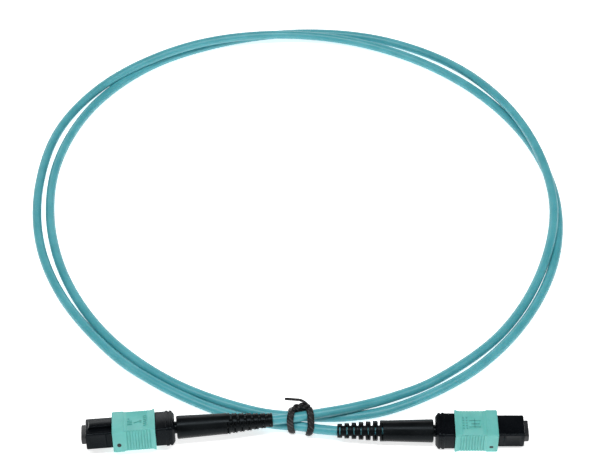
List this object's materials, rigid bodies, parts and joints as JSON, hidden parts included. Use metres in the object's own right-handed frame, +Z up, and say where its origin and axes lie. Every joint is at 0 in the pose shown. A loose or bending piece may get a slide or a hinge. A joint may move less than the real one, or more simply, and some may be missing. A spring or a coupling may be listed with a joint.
{
  "type": "fiber optic patch cord",
  "caption": "Round-jacket multi-fibre patch cord in two loops under a twist tie, with a push-pull rectangular-ferrule plug, sliding coupling and ribbed boot at each end.",
  "frame": {"origin": "under the middle of the two connectors, on the surface the cord lies on", "axes": "+X along the row of connectors from the left plug to the right plug, +Y towards the cable's loops, +Z up"},
  "size_m": [0.178, 0.1978, 0.01],
  "materials": {
    "jacket": "satin aqua LSZH jacket",
    "coupling_aqua": "satin aqua moulded plastic",
    "housing_black": "satin black moulded plastic",
    "boot_rubber": "satin black rubber",
    "ferrule_resin": "ground filled resin",
    "spring_steel": "drawn wire",
    "keeper_steel": "machined",
    "crimp_metal": "nickel plated",
    "aramid": "yellow yarn",
    "fibre_coat": "coated ribbon",
    "tie_black": "coated wire strip"
  },
  "bodies": {
    "root": {"left_boot": "boot_rubber", "left_cable_tail": "jacket", "left_crimp_ring": "crimp_metal", "left_strength_yarn": "aramid", "left_spring_push": "housing_black", "left_ferrule_spring": "spring_steel", "left_inner_housing": "housing_black", "left_coupling_spring_a": "spring_steel", "left_coupling_spring_b": "spring_steel", "right_boot": "boot_rubber", "right_cable_tail": "jacket", "right_crimp_ring": "crimp_metal", "right_strength_yarn": "aramid", "right_spring_push": "housing_black", "right_ferrule_spring": "spring_steel", "right_inner_housing": "housing_black", "right_coupling_spring_a": "spring_steel", "right_coupling_spring_b": "spring_steel", "cable_jacket": "jacket", "twist_tie": "tie_black"},
    "left_coupling": {"left_coupling": "coupling_aqua"},
    "left_ferrule": {"left_ferrule": "ferrule_resin", "left_ferrule_boot": "boot_rubber", "left_pin_keeper": "keeper_steel", "left_fibre_ribbon": "fibre_coat"},
    "right_coupling": {"right_coupling": "coupling_aqua"},
    "right_ferrule": {"right_ferrule": "ferrule_resin", "right_ferrule_boot": "boot_rubber", "right_pin_keeper": "keeper_steel", "right_fibre_ribbon": "fibre_coat"}
  },
  "joints": [
    {"name": "left_coupling_slide", "type": "slide", "parent": "root", "child": "left_coupling", "axis": [0.9962, 0.0854, 0.0166], "range_m": [0, 0.0026], "stiffness_N_per_m": 1200, "springref_m": -0.003, "deforming": ["left_coupling_spring_a", "left_coupling_spring_b"]},
    {"name": "left_ferrule_slide", "type": "slide", "parent": "root", "child": "left_ferrule", "axis": [0.9962, 0.0854, 0.0166], "range_m": [0, 0.001], "stiffness_N_per_m": 4000, "springref_m": -0.0015, "deforming": ["left_ferrule_spring"]},
    {"name": "right_coupling_slide", "type": "slide", "parent": "root", "child": "right_coupling", "axis": [-1, 0, 0], "range_m": [0, 0.0026], "stiffness_N_per_m": 1200, "springref_m": -0.003, "deforming": ["right_coupling_spring_a", "right_coupling_spring_b"]},
    {"name": "right_ferrule_slide", "type": "slide", "parent": "root", "child": "right_ferrule", "axis": [-1, 0, 0], "range_m": [0, 0.001], "stiffness_N_per_m": 4000, "springref_m": -0.0015, "deforming": ["right_ferrule_spring"]}
  ]
}
